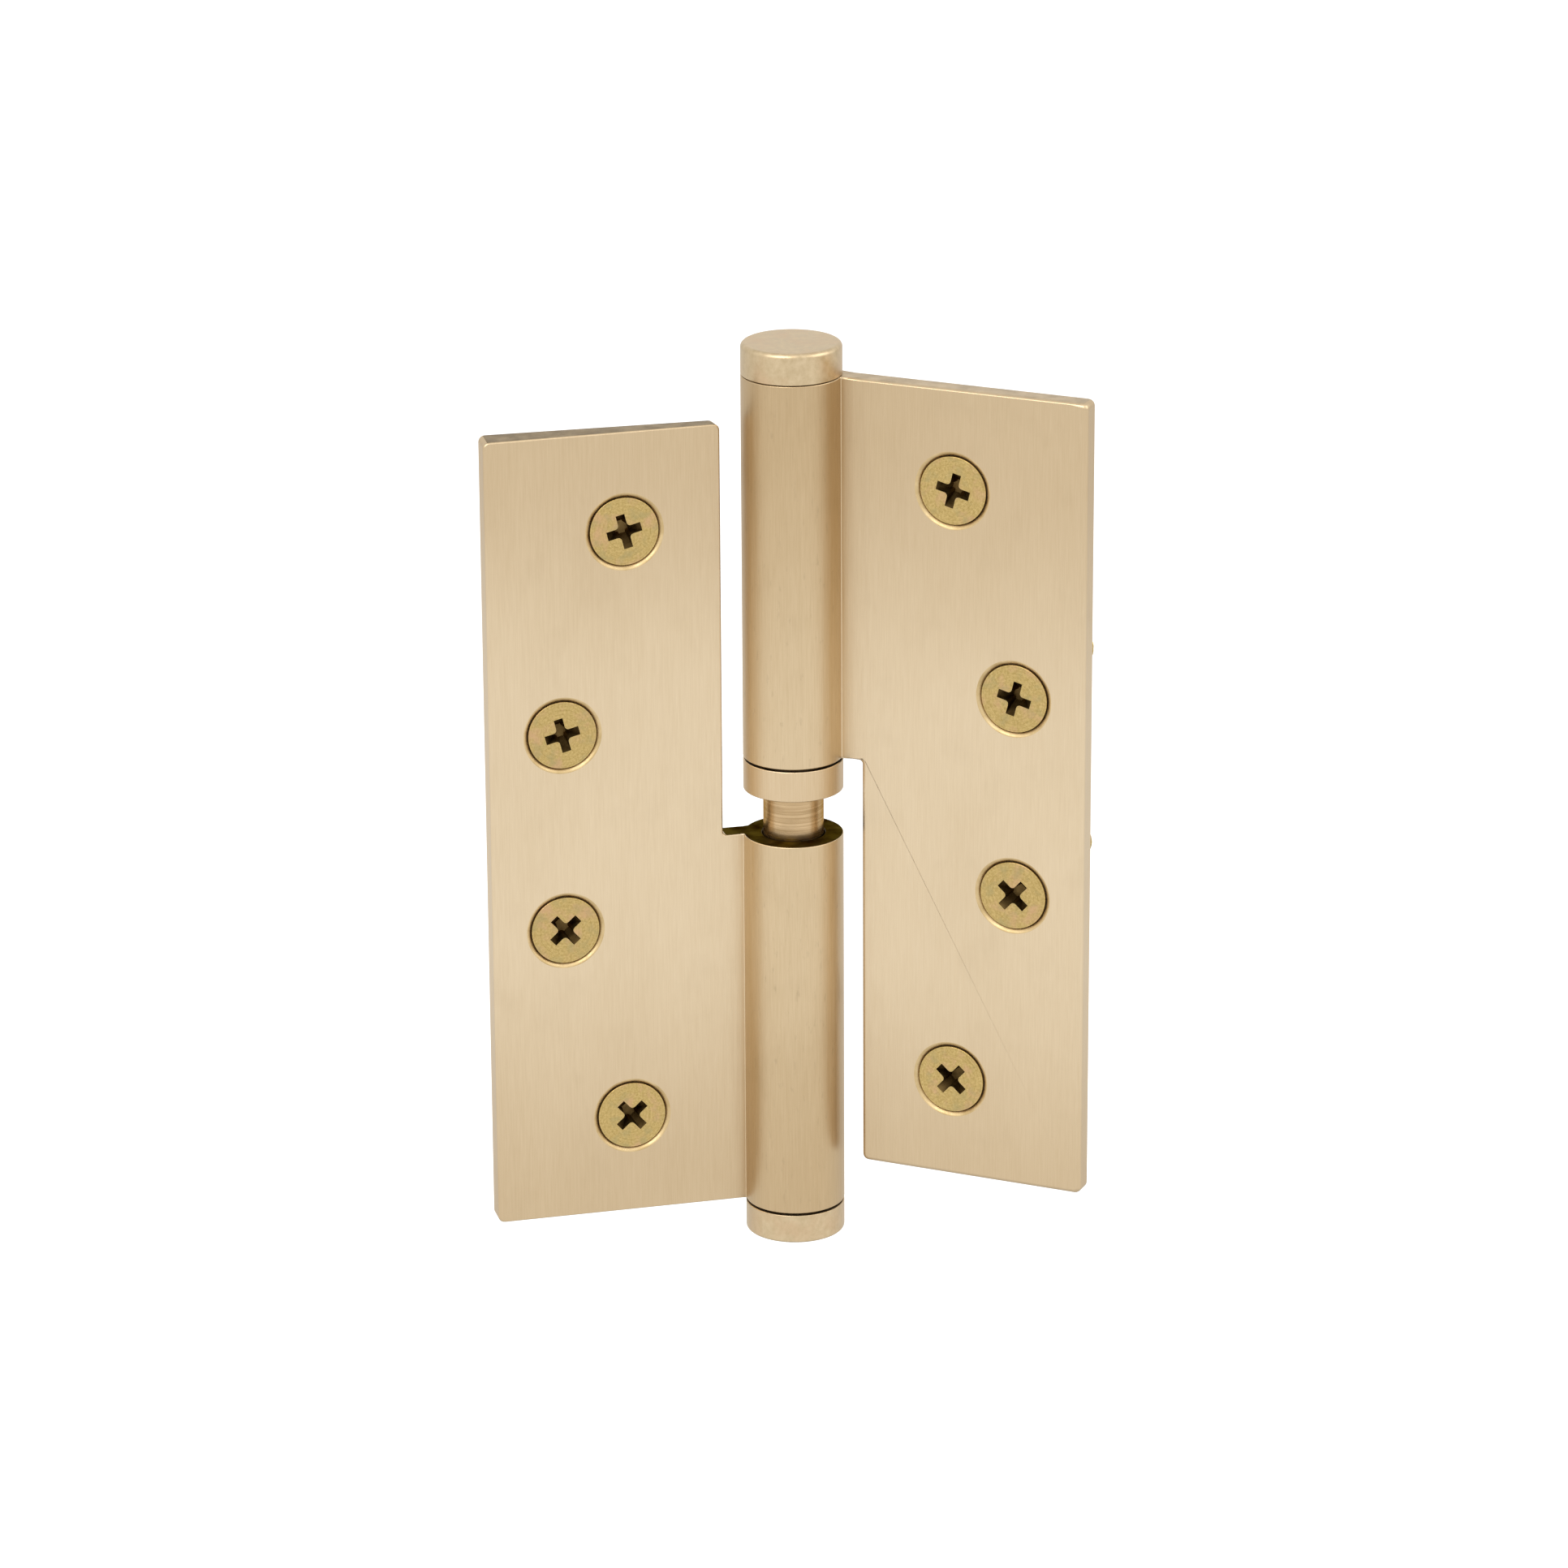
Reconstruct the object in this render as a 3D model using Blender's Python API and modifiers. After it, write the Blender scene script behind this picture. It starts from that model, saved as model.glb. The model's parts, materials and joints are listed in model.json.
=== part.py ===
"""Lift-off butt hinge, solid brass, four inches high: two leaves, a fixed pin and a caged ball bearing.

The frame leaf carries the lower knuckle with the pin pressed into it. The door leaf carries the upper
knuckle, which drops over the pin and rests on the bearing. The hinge stands part lifted and part open.
Origin: centre of the frame leaf's back face. +X runs along that leaf towards the pin, +Y is its back, +Z up.
"""
import bpy
import bmesh
import math
from mathutils import Vector

MM = 0.001
MERGE_GAP = 0.01 * MM           # points closer than this are one
CUT_OVER = 1.0 * MM             # cutters reach this far past the metal

# Leaves
LEAF_HEIGHT = 101.6 * MM
LEAF_WIDTH = 38.1 * MM          # pin axis to free edge
LEAF_THICKNESS = 3.0 * MM
LEAF_SETBACK = 0.75 * MM        # pin axis to the leaf's inner face
LEAF_CORNER = 0.8 * MM
NOTCH_EDGE = 8.8 * MM           # pin axis to the edge that clears the other leaf's knuckle
NOTCH_FILLET = 0.5 * MM
WEB_ROOT = 4.85 * MM            # pin axis to the plate's end inside the barrel's wall
OPEN_ANGLE = math.radians(142)  # between the leaves, zero when shut
LIFT = 5.9 * MM                 # door leaf above its seat

# Barrel
KNUCKLE_RADIUS = 6.2 * MM
PROUD = 0.02 * MM               # barrel ends past the plate's edges
SEAM = 0.3 * MM                 # gap between pieces stacked along the barrel
TOP_SEAM = 0.1 * MM             # the top cap sits tighter
COLLAR_HEIGHT = 3.9 * MM
CAP_REACH = 4.0 * MM            # from the knuckle's end to the cap's face
TOP_ROUNDING = 0.6 * MM
BOTTOM_ROUNDING = 0.35 * MM
CAP_ARC_STEPS = 3
SPIGOT_LENGTH = 5.0 * MM
FIT = 0.15 * MM                 # radial gap between pressed pieces
RUNNING = 0.10 * MM             # radial gap between turning pieces

# Pin and bush
PIN_RADIUS = 3.75 * MM
PIN_REACH = 40.0 * MM           # above the lower knuckle
PIN_FOOT = 7.0 * MM             # lower end above the leaf's bottom edge
PIN_NOSE = 1.2 * MM             # chamfer that leads the door leaf on
PIN_CHAMFER = 0.6 * MM          # at the foot
BUSH_WALL = 0.8 * MM
BUSH_LENGTH = 36.0 * MM

# Bearing, heights from the bottom of the collar
COLLAR_WALL = 0.65 * MM
COLLAR_FLOOR = 0.5 * MM
COLLAR_LIP = 0.7 * MM
RACE_THICKNESS = 0.4 * MM
CAGE_THICKNESS = 0.3 * MM
BALL_RADIUS = 0.5 * MM
BALL_COUNT = 12
BEARING_PLAY = 0.07 * MM
RACE_GAP = 0.4 * MM             # pin to the races' bore
LIP_GAP = 0.25 * MM             # retainer's neck to the collar's lip
NECK_WALL = 0.45 * MM
NECK_LENGTH = 2.5 * MM          # inside the upper knuckle

# Screws, number 8 by one inch
SCREW_ROWS = 4
OUTER_HOLE = 20.8 * MM          # pin axis to the top and bottom holes
INNER_HOLE = 28.9 * MM          # pin axis to the two middle holes
HOLE_RADIUS = 2.35 * MM
SINK_RADIUS = 4.7 * MM
SINK_HALF_ANGLE = math.radians(41)
HEAD_RADIUS = 4.28 * MM
HEAD_LAND = 0.2 * MM
HEAD_RECESS = 0.1 * MM          # head below the leaf's face
SCREW_LENGTH = 25.4 * MM
SHANK_RADIUS = 2.0 * MM
SHANK_LENGTH = 8.0 * MM         # plain length under the head's top
THREAD_CORE = 1.45 * MM
THREAD_PITCH = 1.7 * MM
RIDGE_FOOT = 0.3 * THREAD_PITCH
RIDGE_CREST = 0.8 * THREAD_PITCH
THREAD_TIP = 3.0 * MM
RECESS_SPAN = 4.6 * MM
RECESS_WIDTH = 1.15 * MM
RECESS_DEPTH = 2.2 * MM
SPAN_TAPER = 0.35               # the recess's size at its bottom, as a share of its mouth
WIDTH_TAPER = 0.7
RECESS_ANGLES = (14, 14, 42, 42)  # degrees, top row first

CORNER_STEPS = 4
ROUND_STEPS = 48
SCREW_STEPS = 16
HOLE_STEPS = 32
BALL_STEPS = 8
POCKET_STEPS = 12

# Worked-out places
PIN_X = (LEAF_WIDTH - NOTCH_EDGE) / 2 + NOTCH_EDGE
PIN_Y = -LEAF_SETBACK - LEAF_THICKNESS
BOTTOM = -LEAF_HEIGHT / 2
TOP = LEAF_HEIGHT / 2
KNUCKLE_LENGTH = (LEAF_HEIGHT - COLLAR_HEIGHT - SEAM) / 2
KNUCKLE_TOP = BOTTOM + KNUCKLE_LENGTH
UPPER_KNUCKLE = TOP - KNUCKLE_LENGTH
COLLAR_BOTTOM = UPPER_KNUCKLE - SEAM - COLLAR_HEIGHT
BUSH_BORE = PIN_RADIUS + RUNNING
BUSH_RADIUS = BUSH_BORE + BUSH_WALL
LOWER_BORE = PIN_RADIUS + FIT
UPPER_BORE = BUSH_RADIUS + FIT
ROW_PITCH = LEAF_HEIGHT / SCREW_ROWS
BUSH_FOOT = UPPER_KNUCKLE + NECK_LENGTH + SEAM
SINK_SLOPE = math.tan(SINK_HALF_ANGLE)

# Worked-out bearing, from the pin outwards and from the collar's floor upwards
RACE_INNER = PIN_RADIUS + RACE_GAP
NECK_OUTER = RACE_INNER + NECK_WALL
COLLAR_INSIDE = KNUCKLE_RADIUS - COLLAR_WALL
RACE_OUTER = COLLAR_INSIDE - RUNNING
PITCH_RADIUS = (RACE_INNER + RACE_OUTER) / 2
FLOOR_TOP = COLLAR_BOTTOM + COLLAR_FLOOR
LOWER_RACE = FLOOR_TOP + BEARING_PLAY
BALL_MIDDLE = LOWER_RACE + RACE_THICKNESS + BEARING_PLAY + BALL_RADIUS
UPPER_RACE = BALL_MIDDLE + BALL_RADIUS + BEARING_PLAY
FLANGE = UPPER_RACE + RACE_THICKNESS + BEARING_PLAY


def clear_scene():
    for old in list(bpy.data.objects):
        bpy.data.objects.remove(old, do_unlink=True)


def new_collection(name):
    collection = bpy.data.collections.new(name)
    bpy.context.scene.collection.children.link(collection)
    return collection


def metal(name, colour, roughness):
    material = bpy.data.materials.new(name)
    material.use_nodes = True
    shader = material.node_tree.nodes["Principled BSDF"]
    shader.inputs["Base Color"].default_value = (*colour, 1.0)
    shader.inputs["Roughness"].default_value = roughness
    shader.inputs["Metallic"].default_value = 1.0
    return material


def add_object(name, mesh, collection, material=None, parent=None):
    item = bpy.data.objects.new(name, mesh)
    collection.objects.link(item)
    item.parent = parent
    if material:
        mesh.materials.append(material)
    return item


def make_cutter(item):
    item.hide_render = True
    item.display_type = "WIRE"
    return item


def axis_empty(name, location, turn=0.0):
    empty = bpy.data.objects.new(name, None)
    PARTS.objects.link(empty)
    empty.location = location
    empty.rotation_euler.z = turn
    return empty


def turned(name, profile, collection, material=None, parent=None, steps=ROUND_STEPS, closed=False):
    """A lathe-turned piece: the profile is (radius, height) points, outer side from top to bottom."""
    edges = [(i, i + 1) for i in range(len(profile) - 1)]
    if closed:
        edges.append((len(profile) - 1, 0))
    mesh = bpy.data.meshes.new(name)
    mesh.from_pydata([(radius, 0.0, height) for radius, height in profile], edges, [])
    item = add_object(name, mesh, collection, material, parent)
    spin = item.modifiers.new("Turn", "SCREW")
    spin.axis = "Z"
    spin.steps = steps
    spin.render_steps = steps
    spin.use_merge_vertices = True
    spin.merge_threshold = MERGE_GAP
    spin.use_smooth_shade = False
    return item


def ring(name, inner, outer, low, high, collection, material=None, parent=None):
    profile = [(outer, high), (outer, low), (inner, low), (inner, high)]
    return turned(name, profile, collection, material, parent, closed=True)


def plug(radius, low, high):
    """Profile of a plain solid cylinder."""
    return [(0.0, high), (radius, high), (radius, low), (0.0, low)]


def rounded_outline(corners):
    """Points round a right-angled outline; each corner is (x, z, radius)."""
    points = []
    count = len(corners)
    for i, (x, z, radius) in enumerate(corners):
        here = Vector((x, z))
        before = (Vector(corners[i - 1][:2]) - here).normalized()
        after = (Vector(corners[(i + 1) % count][:2]) - here).normalized()
        if radius == 0.0:
            points.append(here)
            continue
        centre = here + (before + after) * radius
        for step in range(CORNER_STEPS + 1):
            angle = step / CORNER_STEPS * math.pi / 2
            points.append(centre - after * radius * math.cos(angle) - before * radius * math.sin(angle))
    return points


def plate(name, corners, thickness, material, parent):
    """A flat plate in the XZ plane, from a filled outline made into a mesh."""
    curve = bpy.data.curves.new(name + "_outline", "CURVE")
    curve.dimensions = "2D"
    curve.fill_mode = "BOTH"
    curve.extrude = thickness / 2
    spline = curve.splines.new("POLY")
    points = rounded_outline(corners)
    spline.points.add(len(points) - 1)
    for spot, point in zip(spline.points, points):
        spot.co = (point.x, point.y, 0.0, 1.0)
    spline.use_cyclic_u = True
    outline = add_object(name + "_outline", curve, PARTS)
    outline.rotation_euler.x = math.pi / 2
    outline.location.y = LEAF_SETBACK + thickness / 2
    bpy.context.view_layer.update()
    ready = outline.evaluated_get(bpy.context.evaluated_depsgraph_get())
    mesh = bpy.data.meshes.new_from_object(ready)
    mesh.transform(outline.matrix_world)
    bpy.data.objects.remove(outline)
    tidy = bmesh.new()
    tidy.from_mesh(mesh)
    bmesh.ops.remove_doubles(tidy, verts=tidy.verts, dist=MERGE_GAP)
    tidy.to_mesh(mesh)
    tidy.free()
    return add_object(name, mesh, PARTS, material, parent)


def combine(item, tool, operation):
    change = item.modifiers.new(operation.title(), "BOOLEAN")
    change.operation = operation
    change.solver = "EXACT"
    change.object = tool


def hole_places(side):
    """Screw centres (x, z) on a leaf, top row first: a shallow crescent."""
    for row in range(SCREW_ROWS):
        reach = OUTER_HOLE if row in (0, SCREW_ROWS - 1) else INNER_HOLE
        yield side * reach, TOP - ROW_PITCH * (row + 0.5)


def screw_hole_cutter(name, parent, place):
    """Countersunk through hole, its axis along Y, opening at the leaf's inner face."""
    depth = (SINK_RADIUS - HOLE_RADIUS) / SINK_SLOPE
    profile = [
        (0.0, CUT_OVER),
        (SINK_RADIUS + CUT_OVER * SINK_SLOPE, CUT_OVER),
        (HOLE_RADIUS, -depth),
        (HOLE_RADIUS, -LEAF_THICKNESS - CUT_OVER),
        (0.0, -LEAF_THICKNESS - CUT_OVER),
    ]
    cutter = make_cutter(turned(name, profile, CUTTERS, parent=parent, steps=HOLE_STEPS))
    cutter.location = (place[0], LEAF_SETBACK, place[1])
    cutter.rotation_euler.x = math.pi / 2
    return cutter


def leaf(name, side, low, high, bore, parent):
    """A leaf with its knuckle: side is the way it runs from the pin, low to high the knuckle's span."""
    on_top = high == TOP
    root = side * WEB_ROOT
    edge = side * NOTCH_EDGE
    free = side * LEAF_WIDTH
    shelf = low if on_top else high
    near, far = (TOP, BOTTOM) if on_top else (BOTTOM, TOP)
    corners = [
        (root, near, 0.0),
        (free, near, LEAF_CORNER),
        (free, far, LEAF_CORNER),
        (edge, far, LEAF_CORNER),
        (edge, shelf, NOTCH_FILLET),
        (root, shelf, 0.0),
    ]
    item = plate(name, corners, LEAF_THICKNESS, BRASS, parent)
    barrel = ring(name + "_barrel", bore, KNUCKLE_RADIUS, low - PROUD, high + PROUD, CUTTERS, parent=parent)
    combine(item, make_cutter(barrel), "UNION")
    for row, place in enumerate(hole_places(side)):
        combine(item, screw_hole_cutter(f"{name}_hole_{row + 1}", parent, place), "DIFFERENCE")
    return item


def cap(name, face, up, seam, spigot, rounding, parent):
    """A button cap with its spigot; face is the knuckle end it covers, up is 1 or -1."""
    start = face + up * seam
    end = face + up * CAP_REACH
    profile = [(0.0, end)]
    for step in range(CAP_ARC_STEPS + 1):
        angle = step / CAP_ARC_STEPS * math.pi / 2
        radius = KNUCKLE_RADIUS - rounding + rounding * math.sin(angle)
        profile.append((radius, end - up * rounding * (1 - math.cos(angle))))
    profile += [(KNUCKLE_RADIUS, start), (spigot, start)]
    profile += [(spigot, face - up * SPIGOT_LENGTH), (0.0, face - up * SPIGOT_LENGTH)]
    if up < 0:
        profile.reverse()
    return turned(name, profile, PARTS, CAP_BRASS, parent)


def hinge_pin(parent):
    foot = BOTTOM + PIN_FOOT
    head = KNUCKLE_TOP + PIN_REACH
    profile = [
        (0.0, head),
        (PIN_RADIUS - PIN_NOSE, head),
        (PIN_RADIUS, head - PIN_NOSE),
        (PIN_RADIUS, foot + PIN_CHAMFER),
        (PIN_RADIUS - PIN_CHAMFER, foot),
        (0.0, foot),
    ]
    return turned("hinge_pin", profile, PARTS, PIN_METAL, parent)


def bearing_collar(parent):
    """The brass cup that holds the bearing; its lip keeps the retainer in."""
    collar_top = COLLAR_BOTTOM + COLLAR_HEIGHT
    lip_under = collar_top - COLLAR_LIP
    profile = [
        (KNUCKLE_RADIUS, collar_top),
        (KNUCKLE_RADIUS, COLLAR_BOTTOM),
        (PIN_RADIUS + SEAM, COLLAR_BOTTOM),
        (PIN_RADIUS + SEAM, FLOOR_TOP),
        (COLLAR_INSIDE, FLOOR_TOP),
        (COLLAR_INSIDE, lip_under),
        (NECK_OUTER + LIP_GAP, lip_under),
        (NECK_OUTER + LIP_GAP, collar_top),
    ]
    turned("bearing_collar", profile, PARTS, BRASS, parent, closed=True)


def race(name, foot, parent):
    ring(name, RACE_INNER, RACE_OUTER, foot, foot + RACE_THICKNESS, PARTS, STEEL, parent)


def retainer(parent):
    """A flanged sleeve, pushed up into the door leaf's barrel, that keeps the bearing together."""
    neck_top = UPPER_KNUCKLE + NECK_LENGTH
    profile = [
        (NECK_OUTER, neck_top),
        (NECK_OUTER, FLANGE + RACE_THICKNESS),
        (RACE_OUTER, FLANGE + RACE_THICKNESS),
        (RACE_OUTER, FLANGE),
        (RACE_INNER, FLANGE),
        (RACE_INNER, neck_top),
    ]
    turned("bearing_retainer", profile, PARTS, CAP_BRASS, parent, closed=True)


def places_round():
    """Number and place of each ball and its pocket."""
    for number in range(BALL_COUNT):
        angle = number / BALL_COUNT * 2 * math.pi
        spot = Vector((math.cos(angle), math.sin(angle), 0.0)) * PITCH_RADIUS
        spot.z = BALL_MIDDLE
        yield number + 1, spot


def bearing_balls(parent):
    for number, spot in places_round():
        name = f"bearing_ball_{number:02d}"
        ball = bmesh.new()
        bmesh.ops.create_uvsphere(ball, u_segments=BALL_STEPS, v_segments=BALL_STEPS, radius=BALL_RADIUS)
        mesh = bpy.data.meshes.new(name)
        ball.to_mesh(mesh)
        ball.free()
        add_object(name, mesh, PARTS, STEEL, parent).location = spot


def ball_cage(parent):
    low = BALL_MIDDLE - CAGE_THICKNESS / 2
    cage = ring("ball_cage", RACE_INNER, RACE_OUTER, low, low + CAGE_THICKNESS, PARTS, CAP_BRASS, parent)
    pocket = plug(BALL_RADIUS + BEARING_PLAY, -CAGE_THICKNESS, CAGE_THICKNESS)
    for number, spot in places_round():
        drill = turned(f"cage_pocket_{number:02d}", pocket, CUTTERS, parent=parent, steps=POCKET_STEPS)
        make_cutter(drill).location = spot
        combine(cage, drill, "DIFFERENCE")


def screw_profile():
    """Countersunk wood screw with its head's top at zero, the thread as a row of ridges."""
    cone_end = HEAD_LAND + (HEAD_RADIUS - SHANK_RADIUS) / SINK_SLOPE
    profile = [(0.0, 0.0), (HEAD_RADIUS, 0.0), (HEAD_RADIUS, -HEAD_LAND), (SHANK_RADIUS, -cone_end)]
    profile.append((SHANK_RADIUS, -SHANK_LENGTH))
    threaded = SCREW_LENGTH - THREAD_TIP - SHANK_LENGTH
    for turn in range(int(threaded / THREAD_PITCH)):
        start = SHANK_LENGTH + turn * THREAD_PITCH
        profile.append((THREAD_CORE, -start - RIDGE_FOOT))
        profile.append((SHANK_RADIUS, -start - RIDGE_CREST))
    profile.append((THREAD_CORE, THREAD_TIP - SCREW_LENGTH))
    profile.append((0.0, -SCREW_LENGTH))
    return profile


def recess_wing(name, turn, parent):
    """Half of the cross recess: a slot that narrows and shortens as it goes down."""
    wing = bmesh.new()
    for vert in bmesh.ops.create_cube(wing, size=1.0)["verts"]:
        deep = vert.co.z < 0
        span = RECESS_SPAN * (SPAN_TAPER if deep else 1.0)
        width = RECESS_WIDTH * (WIDTH_TAPER if deep else 1.0)
        vert.co = (vert.co.x * span, vert.co.y * width, -RECESS_DEPTH if deep else HEAD_LAND)
    mesh = bpy.data.meshes.new(name)
    wing.to_mesh(mesh)
    wing.free()
    cutter = make_cutter(add_object(name, mesh, CUTTERS, parent=parent))
    cutter.rotation_euler.z = turn
    return cutter


def leaf_screws(prefix, side, parent):
    for row, (x, z) in enumerate(hole_places(side)):
        name = f"{prefix}_screw_{row + 1}"
        screw = turned(name, screw_profile(), PARTS, SCREW_METAL, parent, steps=SCREW_STEPS)
        screw.location = (x, LEAF_SETBACK + HEAD_RECESS, z)
        screw.rotation_euler.x = math.pi / 2
        turn = -side * math.radians(RECESS_ANGLES[row])
        for wing in range(2):
            cutter = recess_wing(f"{name}_recess_{wing + 1}", turn + wing * math.pi / 2, screw)
            combine(screw, cutter, "DIFFERENCE")


clear_scene()
PARTS = new_collection("lift_off_hinge")
CUTTERS = new_collection("cutters")
BRASS = metal("satin_brass", (0.70, 0.55, 0.36), 0.35)
CAP_BRASS = metal("cap_brass", (0.62, 0.47, 0.28), 0.4)
PIN_METAL = metal("pin_bronze", (0.55, 0.36, 0.18), 0.3)
SCREW_METAL = metal("screw_brass", (0.55, 0.42, 0.16), 0.3)
STEEL = metal("bearing_steel", (0.56, 0.57, 0.58), 0.2)

frame_axis = axis_empty("frame_axis", (PIN_X, PIN_Y, 0.0))
collar_axis = axis_empty("collar_axis", (PIN_X, PIN_Y, LIFT))
cage_axis = axis_empty("cage_axis", (PIN_X, PIN_Y, LIFT))
door_axis = axis_empty("door_axis", (PIN_X, PIN_Y, LIFT), OPEN_ANGLE - math.pi)

leaf("frame_leaf", -1, BOTTOM, KNUCKLE_TOP, LOWER_BORE, frame_axis)
hinge_pin(frame_axis)
cap("bottom_cap", BOTTOM, -1, SEAM, PIN_RADIUS, BOTTOM_ROUNDING, frame_axis)
leaf_screws("frame", -1, frame_axis)

bearing_collar(collar_axis)
race("lower_race", LOWER_RACE, collar_axis)
bearing_balls(cage_axis)
ball_cage(cage_axis)

race("upper_race", UPPER_RACE, door_axis)
retainer(door_axis)
leaf("door_leaf", 1, UPPER_KNUCKLE, TOP, UPPER_BORE, door_axis)
cap("top_cap", TOP, 1, TOP_SEAM, BUSH_RADIUS, TOP_ROUNDING, door_axis)
ring("knuckle_bush", BUSH_BORE, BUSH_RADIUS, BUSH_FOOT, BUSH_FOOT + BUSH_LENGTH, PARTS, PIN_METAL, door_axis)
leaf_screws("door", 1, door_axis)
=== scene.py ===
"""Looks of a lift-off butt hinge in satin brass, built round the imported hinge.

Everything is in metres, in the hinge's own frame: the origin is the centre of the frame leaf's back, +X runs
along that leaf towards the pin, +Y points into the jamb and +Z is up. The hinge stands part lifted and part
open.
"""
import bmesh
import bpy
import json
import math
from mathutils import Matrix, Vector


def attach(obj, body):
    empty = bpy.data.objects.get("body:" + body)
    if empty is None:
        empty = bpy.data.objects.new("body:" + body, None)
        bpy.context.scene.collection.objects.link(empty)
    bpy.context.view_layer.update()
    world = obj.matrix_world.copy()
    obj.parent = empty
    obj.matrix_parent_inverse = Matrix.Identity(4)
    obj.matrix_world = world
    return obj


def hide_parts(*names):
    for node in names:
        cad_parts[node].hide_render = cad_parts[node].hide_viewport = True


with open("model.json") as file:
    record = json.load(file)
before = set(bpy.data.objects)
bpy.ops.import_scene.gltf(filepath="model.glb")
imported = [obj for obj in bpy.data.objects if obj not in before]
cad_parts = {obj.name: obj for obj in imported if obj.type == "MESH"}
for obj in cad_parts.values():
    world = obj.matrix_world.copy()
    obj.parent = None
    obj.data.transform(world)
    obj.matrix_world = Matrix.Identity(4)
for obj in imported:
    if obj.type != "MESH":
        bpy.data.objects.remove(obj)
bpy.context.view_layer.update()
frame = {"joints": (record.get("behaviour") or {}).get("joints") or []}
MM = 0.001

# Camera and pale floor
# A long lens looks slightly down on the inside of the two leaves. The floor lies well below the hinge, which
# hangs from its jamb, so no shadow reaches the picture.
LENS = 153.86                   # in millimetres, on film 36 mm wide
FILM_WIDTH = 36.0
EYE = Vector((-0.1710, -0.7622, 0.2745))
EYE_TURN = math.radians(-14.295)
EYE_DROP = math.radians(19.052)
EYE_ROLL = math.radians(-0.310)
FLOOR_RADIUS = 6.0
FLOOR_DEPTH = 0.45
FLOOR_WHITE = (0.93, 0.93, 0.93, 1.0)
FLOOR_GLOW = 0.28               # light coming up through the table's white skin

lens = bpy.data.cameras.new("studio_camera")
lens.lens = LENS
lens.sensor_width = FILM_WIDTH
lens.clip_start = 0.01
camera = bpy.data.objects.new("studio_camera", lens)
bpy.context.scene.collection.objects.link(camera)
camera.matrix_world = (
    Matrix.Translation(EYE)
    @ Matrix.Rotation(EYE_TURN, 4, "Z")
    @ Matrix.Rotation(math.pi / 2 - EYE_DROP, 4, "X")
    @ Matrix.Rotation(EYE_ROLL, 4, "Z")
)
bpy.context.scene.camera = camera
bpy.context.scene.view_settings.view_transform = "Standard"

floor_shape = bmesh.new()
bmesh.ops.create_circle(floor_shape, cap_ends=True, segments=64, radius=FLOOR_RADIUS)
bmesh.ops.translate(floor_shape, vec=(0, 0, -FLOOR_DEPTH), verts=floor_shape.verts)
floor_mesh = bpy.data.meshes.new("floor")
floor_shape.to_mesh(floor_mesh)
floor_shape.free()
floor_paint = bpy.data.materials.new("floor_paint")
floor_paint.use_nodes = True
paint = floor_paint.node_tree.nodes["Principled BSDF"]
paint.inputs["Base Color"].default_value = FLOOR_WHITE
paint.inputs["Roughness"].default_value = 0.9
paint.inputs["Specular IOR Level"].default_value = 0.0
paint.inputs["Emission Color"].default_value = FLOOR_WHITE
paint.inputs["Emission Strength"].default_value = FLOOR_GLOW
floor_mesh.materials.append(floor_paint)
floor = bpy.data.objects.new("floor", floor_mesh)
bpy.context.scene.collection.objects.link(floor)
floor.visible_glossy = False


# Soft studio light
# A white tent all round: brightest overhead and in a band a little below level, which the leaves mirror, and
# dimmer at level, straight below and behind the hinge, which draws the edges of the barrel. Two soft boxes
# help it.
TENT_WHITE = 1.08
SOFT_BOXES = (
    ("key_box", (-0.75, -0.85, 1.05), 0.9, 9.0),
    ("fill_box", (0.95, -0.55, 0.75), 0.9, 4.0),
)

tent = bpy.data.worlds.new("light_tent")
bpy.context.scene.world = tent
tent.use_nodes = True


def node(tree, kind, links=(), **settings):
    """Adds a node: settings are its own options, links are (socket, value or output) pairs."""
    made = tree.nodes.new(kind)
    for option, value in settings.items():
        setattr(made, option, value)
    for socket, value in links:
        if isinstance(value, bpy.types.NodeSocket):
            tree.links.new(value, made.inputs[socket])
        else:
            made.inputs[socket].default_value = value
    return made


def ramp(tree, value, stops):
    """A smooth grey curve: stops are (position, brightness) pairs."""
    made = node(tree, "ShaderNodeFloatCurve", [("Value", value)])
    curve = made.mapping.curves[0]
    made.mapping.extend = "HORIZONTAL"
    curve.points[0].location = stops[0]
    curve.points[1].location = stops[-1]
    for stop in stops[1:-1]:
        curve.points.new(*stop)
    made.mapping.update()
    return made.outputs[0]


def maths(tree, operation, *values):
    made = node(tree, "ShaderNodeMath", list(enumerate(values)), operation=operation)
    return made.outputs[0]


sky = tent.node_tree
sight = node(sky, "ShaderNodeTexCoord")
turned_sight = node(
    sky, "ShaderNodeMapping", [("Vector", sight.outputs["Generated"]), ("Rotation", (0, 0, -EYE_TURN))]
)
way = node(sky, "ShaderNodeSeparateXYZ", [(0, turned_sight.outputs[0])])
height = maths(sky, "MULTIPLY_ADD", way.outputs["Z"], 0.5, 0.5)
behind = maths(sky, "MULTIPLY_ADD", way.outputs["Y"], 0.5, 0.5)
by_height = ramp(
    sky, height, ((0.0, 0.72), (0.18, 0.9), (0.33, 1.0), (0.45, 0.92), (0.66, 1.0), (1.0, 1.0))
)
by_side = ramp(sky, behind, ((0.0, 1.0), (0.4, 1.0), (0.65, 0.9), (0.85, 0.8), (1.0, 0.95)))
glow = maths(sky, "MULTIPLY", by_height, by_side)
sky.nodes["Background"].inputs["Color"].default_value = (1.0, 1.0, 1.0, 1.0)
sky.links.new(maths(sky, "MULTIPLY", glow, TENT_WHITE), sky.nodes["Background"].inputs["Strength"])

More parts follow.
